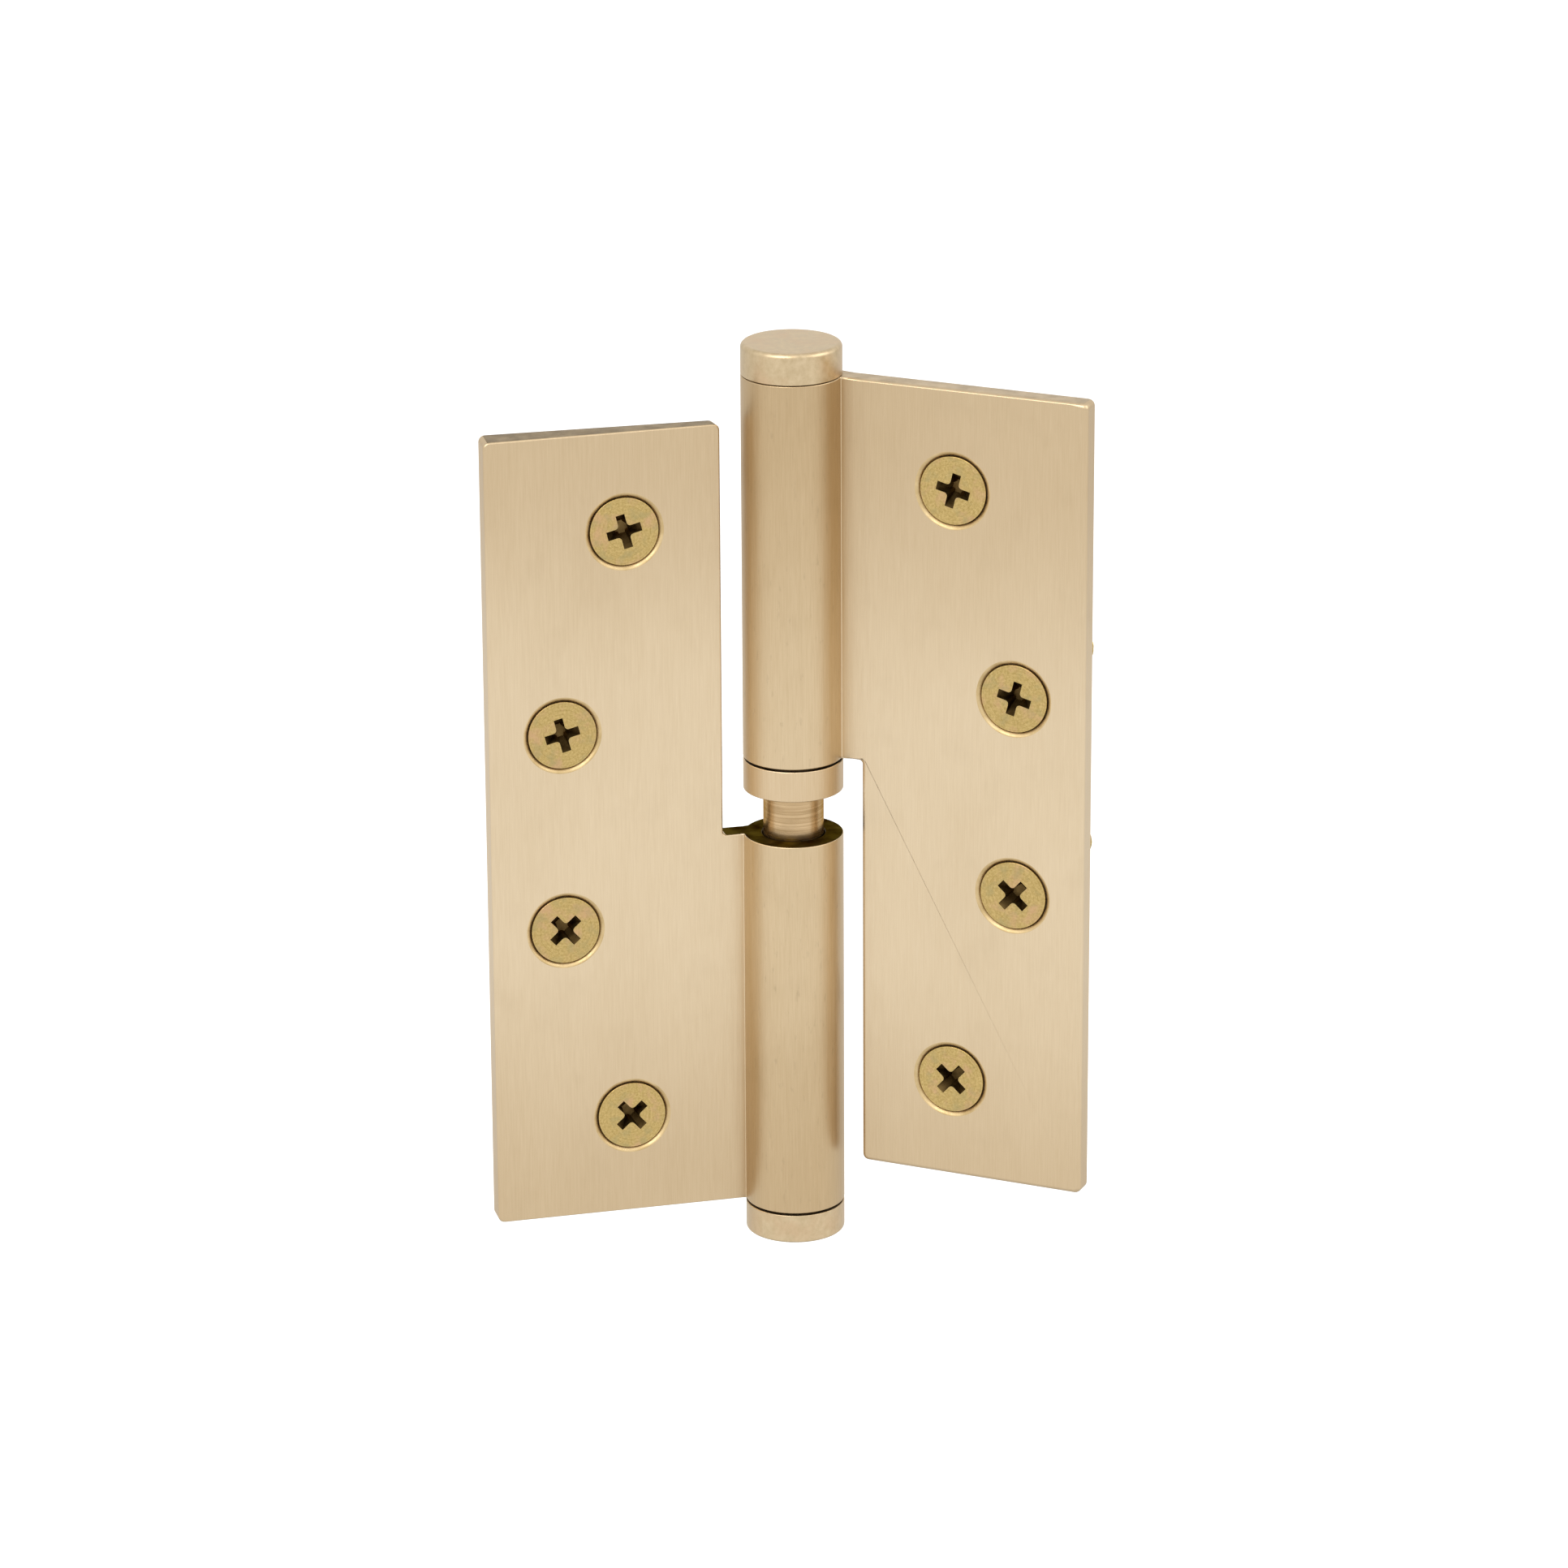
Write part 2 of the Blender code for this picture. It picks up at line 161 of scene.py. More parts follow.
for name, spot, size, power in SOFT_BOXES:
    box = bpy.data.lights.new(name, "AREA")
    box.shape = "SQUARE"
    box.size = size
    box.energy = power
    box_holder = bpy.data.objects.new(name, box)
    bpy.context.scene.collection.objects.link(box_holder)
    box_holder.location = spot
    box_holder.rotation_euler = (-Vector(spot)).to_track_quat("-Z", "Y").to_euler()
    box_holder.visible_camera = False


# Frame leaf
# The leaf that is screwed to the jamb: drawn brass bar with its barrel in one piece, the upper half cut away
# to clear the other knuckle, edges rounded, faces brushed upright, holes countersunk and the barrel bored.
LEAF_HEIGHT = 101.6 * MM
LEAF_WIDTH = 38.1 * MM
LEAF_THICKNESS = 3.0 * MM
LEAF_SETBACK = 0.75 * MM        # pin axis to the leaf's inner face
LEAF_CORNER = 0.8 * MM
FRAME_EDGE = 0.25 * MM          # rounding along the frame leaf's edges
DOOR_EDGE = 0.6 * MM            # the door leaf's edges are worn rounder
KNUCKLE_RADIUS = 6.2 * MM
KNUCKLE_LENGTH = 48.7 * MM
RIM_EDGE = 0.14 * MM            # rounding on the barrel's rims
CREASE = 0.14 * MM              # fillet between leaf and barrel
NOTCH_EDGE = 8.8 * MM
NOTCH_FILLET = 0.5 * MM
FACET_DROP = 0.25 * MM          # the filed top edge leans this far forward at its free end
FACET_BACK = 0.30 * MM          # and this far back beside the barrel
PIN_RADIUS = 3.75 * MM
FIT = 0.15 * MM                 # radial gap round pressed pieces
LOWER_BORE = PIN_RADIUS + FIT
HOLE_RADIUS = 2.35 * MM
SINK_MOUTH = (                  # radius and height of the worn mouth, down to where the cone starts
    (4.98 * MM, 0.020 * MM),
    (4.80 * MM, -0.030 * MM),
    (4.66 * MM, -0.100 * MM),
    (4.46 * MM, -0.300 * MM),
)
SINK_HALF_ANGLE = math.radians(41)
OUTER_HOLE = 20.8 * MM
INNER_HOLE = 28.9 * MM
ROW_PITCH = LEAF_HEIGHT / 4
EDGE_BREAK = 0.12 * MM
FLAT_AREA = 25 * MM * MM        # a face at least this large is flat all over
CUT_OVER = 1.0 * MM             # cutters reach this far past the metal
MERGE_GAP = 0.0005 * MM         # points closer than this are one
TOUCH = 0.01 * MM               # surfaces closer than this are one
TOP = LEAF_HEIGHT / 2
ROUND_STEPS = 96
ARC_STEPS = 88                  # round the barrel, between the leaf's two faces
HOLE_STEPS = 72
BEND_STEPS = 5
CREASE_STEPS = 3
THROUGH = 0.9 * LEAF_THICKNESS  # an edge this long along Y runs from face to face
CORNER_TURN = 1.0               # radians: the plate's own corners turn more than this
EDGE_TURN = 0.9                 # and the edges that get rounded more than this
SHARP_TURN = math.radians(34)   # edges turning more than this stay crisp
END_TILT = 0.9                  # how far a face looks up or down to be an end
LEAF_TONES = ((0.690, 0.545, 0.355), (0.795, 0.650, 0.450))
BARREL_TONES = ((0.610, 0.462, 0.276), (0.735, 0.580, 0.375))
END_PAINTED_SHADE = (0.84, 0.80, 0.74)  # painted shade on the metal towards the hinge's ends, against its middle
MIDDLE_REACH = (0.012, 0.050)    # that change happens between these heights
# the frame leaf's sawn ends, far darker than the door leaf's: painted shade
FRAME_END_SHADE_TONES = ((0.220, 0.160, 0.085), (0.360, 0.270, 0.155))
# near black: painted shade on the knuckle's seat in the gap under the next piece, and inside the bore
GAP_SHADE_TONES = ((0.020, 0.016, 0.005), (0.110, 0.086, 0.032))
SEAT_GLINT = (0.45, 0.38, 0.18)
SINK_TONES = ((0.560, 0.410, 0.200), (0.740, 0.570, 0.320))
HAIR_DEPTH = 0.0032 * MM
SCORE_DEPTH = 0.004 * MM
PIT_DEPTH = 0.005 * MM
AXIS = Vector(next(joint for joint in frame["joints"] if joint["name"] == "leaf_swing")["pos_m"])
FRAME_PLACE = Matrix.Translation(AXIS)


def pattern(tree, stretch, detail=4.0, roughness=0.55, source="Object"):
    """Noise on the piece's own coordinates, stretch giving its count per metre along each axis."""
    place = node(tree, "ShaderNodeTexCoord")
    scaled = node(tree, "ShaderNodeMapping", [("Vector", place.outputs[source]), ("Scale", stretch)])
    links = [("Vector", scaled.outputs[0]), ("Scale", 1.0), ("Detail", detail), ("Roughness", roughness)]
    return node(tree, "ShaderNodeTexNoise", links).outputs[0]


def spread(tree, value, low, high, start=0.3, end=0.7):
    """Maps the middle of a noise onto low to high."""
    links = [("Value", value), ("From Min", start), ("From Max", end), ("To Min", low), ("To Max", high)]
    return node(tree, "ShaderNodeMapRange", links).outputs[0]


def tint(tree, share, first, second, blend="MIX"):
    """Mixes two colours, or a colour and an output."""
    ends = [end if isinstance(end, bpy.types.NodeSocket) else (*end, 1.0) for end in (first, second)]
    links = list(zip((0, 6, 7), (share, *ends)))
    return node(tree, "ShaderNodeMix", links, data_type="RGBA", blend_type=blend).outputs[2]


def relief(tree, height, depth, normal=None):
    """Bump of that depth in metres, on top of another bump if one is given."""
    links = [("Height", height), ("Distance", depth), ("Strength", 1.0)]
    if normal:
        links.append(("Normal", normal))
    return node(tree, "ShaderNodeBump", links).outputs[0]


def metal(name, anisotropy=0.0):
    finish = bpy.data.materials.new(name)
    finish.use_nodes = True
    shader = finish.node_tree.nodes["Principled BSDF"]
    shader.inputs["Metallic"].default_value = 1.0
    shader.inputs["Anisotropic"].default_value = anisotropy
    return finish, finish.node_tree, shader


def dress(tree, shader, colour, roughness, normal):
    tree.links.new(colour, shader.inputs["Base Color"])
    tree.links.new(roughness, shader.inputs["Roughness"])
    tree.links.new(normal, shader.inputs["Normal"])


def brushed(name, tones, rough=(0.30, 0.42), pits=0.0):
    """Satin brass brushed upright: fine hairlines, broader streaks, faint clouds, handling marks, pits, and
    painted shade towards the hinge's ends.
    """
    finish, tree, shader = metal(name, anisotropy=0.55)
    shader.inputs["Anisotropic Rotation"].default_value = 0.25
    upright = node(tree, "ShaderNodeCombineXYZ", [("Z", 1.0)])
    tree.links.new(upright.outputs[0], shader.inputs["Tangent"])
    hairs = pattern(tree, (8200, 8200, 230), detail=4.0, roughness=0.65)
    streaks = pattern(tree, (2100, 2100, 45), detail=3.0)
    clouds = pattern(tree, (75, 75, 45), detail=4.0)
    shade = maths(tree, "MULTIPLY_ADD", hairs, 0.5, maths(tree, "MULTIPLY", streaks, 0.2))
    shade = maths(tree, "MULTIPLY_ADD", clouds, 0.3, shade)
    colour = tint(tree, spread(tree, shade, 0.0, 1.0, 0.32, 0.68), *tones)
    smudges = spread(tree, pattern(tree, (230, 230, 160), detail=5.0), 0.0, 0.22, 0.55, 0.75)
    colour = tint(tree, smudges, colour, [0.9 * tone for tone in tones[0]])
    # painted shade: darker towards the hinge's top and bottom
    colour = painted_end_shade(tree, colour)
    roughness = spread(tree, streaks, *rough)
    normal = relief(tree, hairs, HAIR_DEPTH)
    if pits:
        specks = spread(tree, pattern(tree, (1900, 1900, 520), detail=3.0), 0.0, 1.0, 0.62, 0.76)
        colour = tint(tree, maths(tree, "MULTIPLY", specks, 0.3), colour, [0.6 * tone for tone in tones[0]])
        normal = relief(tree, specks, -pits, normal)
    dress(tree, shader, colour, roughness, normal)
    return finish


def painted_end_shade(tree, colour):
    """Darkens the colour towards the top and bottom of the hinge: painted shade for the light falling off
    there.
    """
    place = node(tree, "ShaderNodeTexCoord")
    across = node(tree, "ShaderNodeSeparateXYZ", [(0, place.outputs["Object"])])
    from_middle = maths(tree, "ABSOLUTE", across.outputs["Z"])
    low, high = MIDDLE_REACH
    links = [(0, from_middle), (1, low), (2, high)]
    share = node(tree, "ShaderNodeMapRange", links, interpolation_type="SMOOTHSTEP").outputs[0]
    return tint(tree, share, colour, END_PAINTED_SHADE, blend="MULTIPLY")


def sawn(name, tones, stretch=(700, 5200, 700), glint=(1.0, 1.0, 1.0)):
    """Faces left from a saw, drill or file: brass with fine scores, its tones painted shade where they are
    dark; glint tints it at low angles.
    """
    finish, tree, shader = metal(name)
    shader.inputs["Specular Tint"].default_value = (*glint, 1.0)
    scores = pattern(tree, stretch, detail=4.0, roughness=0.65)
    stains = pattern(tree, (420, 420, 420), detail=5.0)
    colour = tint(tree, spread(tree, stains, 0.0, 1.0, 0.35, 0.65), *tones)
    roughness = spread(tree, scores, 0.38, 0.58)
    dress(tree, shader, colour, roughness, relief(tree, scores, SCORE_DEPTH))
    return finish


def bevel(shape, corners, radius, affect, segments=BEND_STEPS):
    bmesh.ops.bevel(
        shape, geom=corners, offset=radius, affect=affect, segments=segments, profile=0.5, material=-1
    )


def leaf_blank(edge_radius, facet_drop=0.0, facet_back=0.0):
    """A leaf as sawn from the bar: barrel round the Z axis, plate along +X, barrel at the low end."""
    front, back = LEAF_SETBACK, LEAF_SETBACK + LEAF_THICKNESS
    blank = bmesh.new()
    first = math.asin(back / KNUCKLE_RADIUS)
    last = math.asin(front / KNUCKLE_RADIUS) + 2 * math.pi
    seed = blank.verts.new((KNUCKLE_RADIUS * math.cos(first), back, 0))
    arc = bmesh.ops.spin(
        blank, geom=[seed], cent=(0, 0, 0), axis=(0, 0, 1), angle=last - first, steps=ARC_STEPS
    )
    tip = arc["geom_last"][0]
    near = [blank.verts.new((NOTCH_EDGE, y, 0)) for y in (front, back)]
    far = [blank.verts.new((LEAF_WIDTH, y, 0)) for y in (front, back)]
    rim = [vert for vert in blank.verts if vert not in near and vert not in far]
    blank.faces.new(rim + near)
    blank.faces.new([near[0], far[0], far[1], near[1]])
    bevel(blank, [seed, tip], CREASE, "VERTICES", CREASE_STEPS)
    grown = bmesh.ops.extrude_face_region(blank, geom=blank.faces[:])["geom"]
    lift(blank, grown, KNUCKLE_LENGTH)
    upper = [face for face in grown if isinstance(face, bmesh.types.BMFace) and len(face.verts) == 4]
    grown = bmesh.ops.extrude_face_region(blank, geom=upper)["geom"]
    bmesh.ops.delete(blank, geom=upper, context="FACES_ONLY")
    lift(blank, grown, LEAF_HEIGHT - KNUCKLE_LENGTH)
    for vert in blank.verts:
        if vert.co.z > LEAF_HEIGHT - MM:
            at_free_front = vert.co.x > LEAF_WIDTH - MM and vert.co.y < front + MM
            at_notch_back = vert.co.x < NOTCH_EDGE + MM and vert.co.y > back - MM
            vert.co.z -= facet_drop * at_free_front + facet_back * at_notch_back
    bmesh.ops.recalc_face_normals(blank, faces=blank.faces)
    round_corners(blank)
    mark_rounding(blank, edge_radius)
    return blank


def lift(shape, grown, distance):
    """Raises what an extrusion has just made."""
    moved = [vert for vert in grown if isinstance(vert, bmesh.types.BMVert)]
    bmesh.ops.translate(shape, vec=(0, 0, distance), verts=moved)


def round_corners(blank):
    """Rounds the plate's outer corners, and fillets the inner corner of the notch."""
    outer, inner = [], []
    for edge in blank.edges:
        along = edge.verts[0].co - edge.verts[1].co
        spot = (edge.verts[0].co + edge.verts[1].co) / 2
        if abs(along.y) < THROUGH or edge.calc_face_angle(0.0) < CORNER_TURN:
            continue
        (inner if spot.x < NOTCH_EDGE + MM and spot.z < LEAF_HEIGHT / 2 else outer).append(edge)
    for edges, radius in ((outer, LEAF_CORNER), (inner, NOTCH_FILLET)):
        bevel(blank, edges, radius, "EDGES")


def mark_rounding(blank, edge_radius):
    """Gives each sharp edge its rounding, as a share of MM: the leaf's outline, or a barrel's rim."""
    share = blank.edges.layers.float.new("bevel_weight_edge")
    for edge in blank.edges:
        if edge.calc_face_angle(0.0) < EDGE_TURN:
            continue
        on_barrel = all(vert.co.xy.length < KNUCKLE_RADIUS + CREASE for vert in edge.verts)
        edge[share] = (RIM_EDGE if on_barrel else edge_radius) / MM


def turned(outline, steps=ROUND_STEPS):
    """A shape turned round Z: outline gives (radius, height, edge rounding).

    It closes on itself unless it starts and ends on the axis.
    """
    shape = bmesh.new()
    corners = [shape.verts.new((radius, 0, height)) for radius, height, _ in outline]
    for start, end in zip(corners, corners[1:]):
        shape.edges.new((start, end))
    if outline[0][0] > 0:
        shape.edges.new((corners[-1], corners[0]))
    for corner, (_, _, rounding) in zip(corners, outline):
        if rounding:
            bevel(shape, [corner], rounding, "VERTICES")
    bmesh.ops.spin(
        shape,
        geom=shape.verts[:] + shape.edges[:],
        cent=(0, 0, 0),
        axis=(0, 0, 1),
        angle=2 * math.pi,
        steps=steps,
        use_merge=True,
    )
    bmesh.ops.remove_doubles(shape, verts=shape.verts, dist=MERGE_GAP)
    bmesh.ops.recalc_face_normals(shape, faces=shape.faces)
    return shape


def new_object(name, shape, *finishes):
    """Makes an object of a shape, whose faces wear the first finish until told otherwise."""
    mesh = bpy.data.meshes.new(name)
    shape.to_mesh(mesh)
    shape.free()
    for finish in finishes:
        mesh.materials.append(finish)
    item = bpy.data.objects.new(name, mesh)
    bpy.context.scene.collection.objects.link(item)
    return item


def settle(item):
    """Applies an object's modifiers to its mesh."""
    ready = item.evaluated_get(bpy.context.evaluated_depsgraph_get())
    item.data = bpy.data.meshes.new_from_object(ready)
    item.modifiers.clear()


def cut(item, cutter):
    """Cuts one object out of another and throws the cutter away."""
    work = item.modifiers.new("cut", "BOOLEAN")
    work.operation = "DIFFERENCE"
    work.solver = "EXACT"
    work.material_mode = "TRANSFER"
    work.object = cutter
    bpy.context.view_layer.update()
    settle(item)
    bpy.data.objects.remove(cutter)


def hole_places(side):
    """Screw centres (x, z) on a leaf, top row first: a shallow crescent."""
    for row, reach in enumerate((OUTER_HOLE, INNER_HOLE, INNER_HOLE, OUTER_HOLE)):
        yield side * reach, TOP - ROW_PITCH * (row + 0.5)


def drill_holes(item, side, finish):
    """Countersunk holes with a broken edge, through the leaf from its inner face."""
    slope = math.tan(SINK_HALF_ANGLE)
    cone_start = SINK_MOUTH[-1]
    outline = [
        (0, CUT_OVER, 0),
        (SINK_MOUTH[0][0] + CUT_OVER, CUT_OVER, 0),
        *((radius, depth, 0) for radius, depth in SINK_MOUTH),
        (HOLE_RADIUS, cone_start[1] - (cone_start[0] - HOLE_RADIUS) / slope, 0),
        (HOLE_RADIUS, -LEAF_THICKNESS - CUT_OVER, 0),
        (0, -LEAF_THICKNESS - CUT_OVER, 0),
    ]
    for x, z in hole_places(side):
        drill = turned(outline, steps=HOLE_STEPS)
        spot = Matrix.Translation((x, LEAF_SETBACK, z)) @ Matrix.Rotation(math.pi / 2, 4, "X")
        bmesh.ops.transform(drill, matrix=spot, verts=drill.verts)
        cut(item, new_object("drill", drill, finish))


def bore(item, radius, low, high, finish):
    """The barrel's bore, a little open at both mouths."""
    opening = radius + EDGE_BREAK + CUT_OVER
    outline = [
        (0, high + CUT_OVER, 0),
        (opening, high + CUT_OVER, 0),
        (radius, high - EDGE_BREAK, 0),
        (radius, low + EDGE_BREAK, 0),
        (opening, low - CUT_OVER, 0),
        (0, low - CUT_OVER, 0),
    ]
    cut(item, new_object("reamer", turned(outline), finish))


def true_flats(mesh):
    """Gives each large flat face a single normal, so that no rounded corner bends its shine."""
    normals = [tuple(corner.vector) for corner in mesh.corner_normals]
    for face in mesh.polygons:
        if face.area > FLAT_AREA:
            for corner in face.loop_indices:
                normals[corner] = tuple(face.normal)
    mesh.normals_split_custom_set(normals)


def show_metal(item, place, body, nodes):
    """Puts a finished piece in its place, smooth but for its true edges, on its body."""
    item.data.transform(place)
    item.data.shade_smooth()
    item.data.set_sharp_from_angle(angle=SHARP_TURN)
    evening = item.modifiers.new("even_normals", "WEIGHTED_NORMAL")
    evening.keep_sharp = True
    bpy.context.view_layer.update()
    settle(item)
    true_flats(item.data)
    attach(item, body)
    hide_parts(*nodes)
    return item


def finish_faces(item, seat_height):
    """Gives the barrel, the sawn ends and the knuckle's seat their own finishes, the seat's a near-black
    painted shade.
    """
    barrel_slot, end_slot, seat_slot = 1, 2, 3
    for face in item.data.polygons:
        if face.material_index:
            continue
        if abs(face.normal.z) > END_TILT:
            seated = abs(face.center.z - seat_height) < EDGE_BREAK
            face.material_index = seat_slot if seated else end_slot
        elif face.center.xy.length < KNUCKLE_RADIUS + TOUCH:
            face.material_index = barrel_slot


def make_leaf(name, blank, side, flip, bore_radius, finishes):
    """Turns a blank to its side, rounds its edges, drills and bores it."""
    mirror = Matrix.Diagonal((side, 1, -1 if flip else 1, 1))
    rise = TOP if flip else -TOP
    bmesh.ops.transform(blank, matrix=Matrix.Translation((0, 0, rise)) @ mirror, verts=blank.verts)
    bmesh.ops.recalc_face_normals(blank, faces=blank.faces)
    item = new_object(name, blank, *finishes)
    rounding = item.modifiers.new("edges", "BEVEL")
    rounding.limit_method = "WEIGHT"
    rounding.width = MM
    rounding.segments = BEND_STEPS
    rounding.use_clamp_overlap = False
    bpy.context.view_layer.update()
    settle(item)
    drill_holes(item, side, sink_brass)
    span = (TOP - KNUCKLE_LENGTH, TOP) if flip else (-TOP, KNUCKLE_LENGTH - TOP)
    # the bore's walls wear near-black painted shade
    bore(item, bore_radius, *span, bore_shaded_brass)
    finish_faces(item, span[0] if flip else span[1])
    return item


leaf_brass = brushed("leaf_brass", LEAF_TONES)
barrel_brass = brushed("barrel_brass", BARREL_TONES, pits=PIT_DEPTH)
# painted shade on the frame leaf's top and bottom faces
frame_end_shaded_brass = sawn("frame_end_shaded_brass", FRAME_END_SHADE_TONES)
# painted shade for the seat in the gap and for the bore
seat_shaded_brass = sawn("seat_shaded_brass", GAP_SHADE_TONES, glint=SEAT_GLINT)
sink_brass = sawn("sink_brass", SINK_TONES, stretch=(900, 900, 900))
bore_shaded_brass = sawn("bore_shaded_brass", GAP_SHADE_TONES, stretch=(200, 200, 4000))

frame_finishes = (leaf_brass, barrel_brass, frame_end_shaded_brass, seat_shaded_brass)
frame_blank = leaf_blank(FRAME_EDGE, FACET_DROP, FACET_BACK)
frame_leaf = make_leaf("frame_leaf_metal", frame_blank, -1, False, LOWER_BORE, frame_finishes)
show_metal(frame_leaf, FRAME_PLACE, "frame", ["frame_leaf"])


# Bottom cap
# A turned brass button whose spigot is pressed into the frame leaf's barrel from below. Its skin is mottled
# from tumbling and lacquer.
CAP_REACH = 4.0 * MM            # from the knuckle's end to the cap's face
SEAM = 0.3 * MM
SPIGOT_LENGTH = 5.0 * MM
FINE_EDGE = 0.1 * MM
BOTTOM_ROUNDING = 0.35 * MM
CAP_TONES = ((0.560, 0.430, 0.255), (0.680, 0.540, 0.345))
WARM_PATCH = (0.620, 0.420, 0.250)
DIMPLE_DEPTH = 0.003 * MM
BLOTCH_DEPTH = 0.006 * MM


def mottled(name, tones):
    """Tumbled brass: soft blotches and small dimples."""
    finish, tree, shader = metal(name)
    blotches = pattern(tree, (1300, 1300, 1100), detail=5.0, roughness=0.65)
    dimples = pattern(tree, (4200, 4200, 4200), detail=3.0)
    colour = tint(tree, spread(tree, blotches, 0.0, 1.0, 0.32, 0.68), *tones)
    warm = spread(tree, pattern(tree, (240, 240, 240), detail=3.0), 0.0, 0.45, 0.48, 0.7)
    colour = tint(tree, warm, colour, WARM_PATCH)
    roughness = spread(tree, blotches, 0.3, 0.44)
    normal = relief(tree, dimples, DIMPLE_DEPTH, relief(tree, blotches, BLOTCH_DEPTH))
    dress(tree, shader, colour, roughness, normal)
    return finish


def cap(face, up, seam, spigot_radius, rounding):
    """A button cap on the knuckle end at height face; up is 1 above it and -1 below."""
    start = face + up * seam
    end = face + up * CAP_REACH
    inside = face - up * SPIGOT_LENGTH
    return turned(
        [
            (0, end, 0),
            (KNUCKLE_RADIUS, end, rounding),
            (KNUCKLE_RADIUS, start, FINE_EDGE),
            (spigot_radius, start, 0),
            (spigot_radius, inside, 3 * FINE_EDGE),
            (0, inside, 0),
        ]
    )


cap_brass = mottled("cap_brass", CAP_TONES)
bottom_cap = cap(-TOP, -1, SEAM, PIN_RADIUS, BOTTOM_ROUNDING)
bottom_cap = new_object("bottom_cap_metal", bottom_cap, cap_brass)
show_metal(bottom_cap, FRAME_PLACE, "frame", ["bottom_cap"])


# Hinge pin
# Turned and ground brass rod, pressed into the frame leaf's barrel, with a rounded nose that the other leaf
# drops over. Its turning marks run round it.
PIN_RISE = 7.0 * MM             # its foot above the leaf's bottom edge
PIN_REACH = 40.0 * MM           # its nose above the lower knuckle
PIN_FOOT = PIN_RISE - TOP
PIN_HEAD = KNUCKLE_LENGTH - TOP + PIN_REACH
PIN_NOSE = 1.2 * MM
PIN_TONES = ((0.430, 0.290, 0.145), (0.690, 0.500, 0.290))
RING_DEPTH = 0.0035 * MM


def lathed(name, tones, rough=(0.2, 0.32), marks=5200):
    """Metal with turning marks round the pin's axis."""
    finish, tree, shader = metal(name)
    rings = pattern(tree, (60, 60, marks), detail=4.0, roughness=0.7)
    oil = pattern(tree, (260, 260, 320), detail=4.0)
    colour = tint(tree, spread(tree, rings, 0.0, 1.0, 0.35, 0.65), *tones)
    colour = tint(tree, spread(tree, oil, 0.0, 0.3, 0.5, 0.75), colour, [0.6 * tone for tone in tones[0]])
    shader.inputs["Specular Tint"].default_value = (*(0.9 * tone for tone in tones[1]), 1.0)
    dress(tree, shader, colour, spread(tree, oil, *rough), relief(tree, rings, RING_DEPTH))
    return finish


pin_brass = lathed("pin_brass", PIN_TONES)
pin = turned(
    [
        (0, PIN_HEAD, 0),
        (PIN_RADIUS, PIN_HEAD, PIN_NOSE),
        (PIN_RADIUS, PIN_FOOT, PIN_NOSE / 2),
        (0, PIN_FOOT, 0),
    ]
)
pin = new_object("hinge_pin_metal", pin, pin_brass)
show_metal(pin, FRAME_PLACE, "frame", ["hinge_pin"])


# Bearing collar and its lower race
# A brushed brass cup between the knuckles that holds the ball bearing. Its lip keeps the retainer in, and a
# hardened steel washer lies on its floor.
LIFT = 5.9 * MM                 # door leaf above its seat
COLLAR_HEIGHT = 3.9 * MM
COLLAR_WALL = 0.65 * MM
COLLAR_FLOOR = 0.5 * MM
COLLAR_LIP = 0.7 * MM
RACE_THICKNESS = 0.4 * MM
RUNNING = 0.10 * MM             # radial gap between turning pieces
BEARING_PLAY = 0.07 * MM
RACE_GAP = 0.4 * MM             # pin to the races' bore
NECK_WALL = 0.45 * MM
LIP_GAP = 0.25 * MM             # retainer's neck to the collar's lip
WASHER_EDGE = 0.06 * MM
KNUCKLE_FOOT = TOP - KNUCKLE_LENGTH
COLLAR_TOP = KNUCKLE_FOOT - SEAM
COLLAR_BOTTOM = COLLAR_TOP - COLLAR_HEIGHT
COLLAR_INSIDE = KNUCKLE_RADIUS - COLLAR_WALL
RACE_OUTER = COLLAR_INSIDE - RUNNING
RACE_INNER = PIN_RADIUS + RACE_GAP
NECK_OUTER = RACE_INNER + NECK_WALL
LIFTED_PLACE = Matrix.Translation(AXIS + Vector((0, 0, LIFT)))
COLLAR_TONES = ((0.620, 0.460, 0.270), (0.750, 0.590, 0.390))
STEEL_TONES = ((0.330, 0.330, 0.340), (0.560, 0.560, 0.570))


def washer(low, high=None):
    """A flat ring as wide as the bearing's races."""
    high = high or low + RACE_THICKNESS
    corners = ((RACE_OUTER, high), (RACE_OUTER, low), (RACE_INNER, low), (RACE_INNER, high))
    return turned([(radius, level, WASHER_EDGE) for radius, level in corners])


collar_brass = brushed("collar_brass", COLLAR_TONES)
mouth = NECK_OUTER + LIP_GAP
lip_under = COLLAR_TOP - COLLAR_LIP
floor_top = COLLAR_BOTTOM + COLLAR_FLOOR
collar = turned(
    [
        (KNUCKLE_RADIUS, COLLAR_TOP, RIM_EDGE),
        (KNUCKLE_RADIUS, COLLAR_BOTTOM, RIM_EDGE),
        (PIN_RADIUS + SEAM, COLLAR_BOTTOM, FINE_EDGE),
        (PIN_RADIUS + SEAM, floor_top, FINE_EDGE),
        (COLLAR_INSIDE, floor_top, 0),
        (COLLAR_INSIDE, lip_under, 0),
        (mouth, lip_under, FINE_EDGE),
        (mouth, COLLAR_TOP, FINE_EDGE),
    ]
)
collar = new_object("bearing_collar_metal", collar, collar_brass)
show_metal(collar, LIFTED_PLACE, "collar", ["bearing_collar"])

bearing_steel = lathed("bearing_steel", STEEL_TONES, rough=(0.14, 0.24), marks=3000)
lower_race_foot = floor_top + BEARING_PLAY
lower_race = new_object("lower_race_metal", washer(lower_race_foot), bearing_steel)
show_metal(lower_race, LIFTED_PLACE, "collar", ["lower_race"])


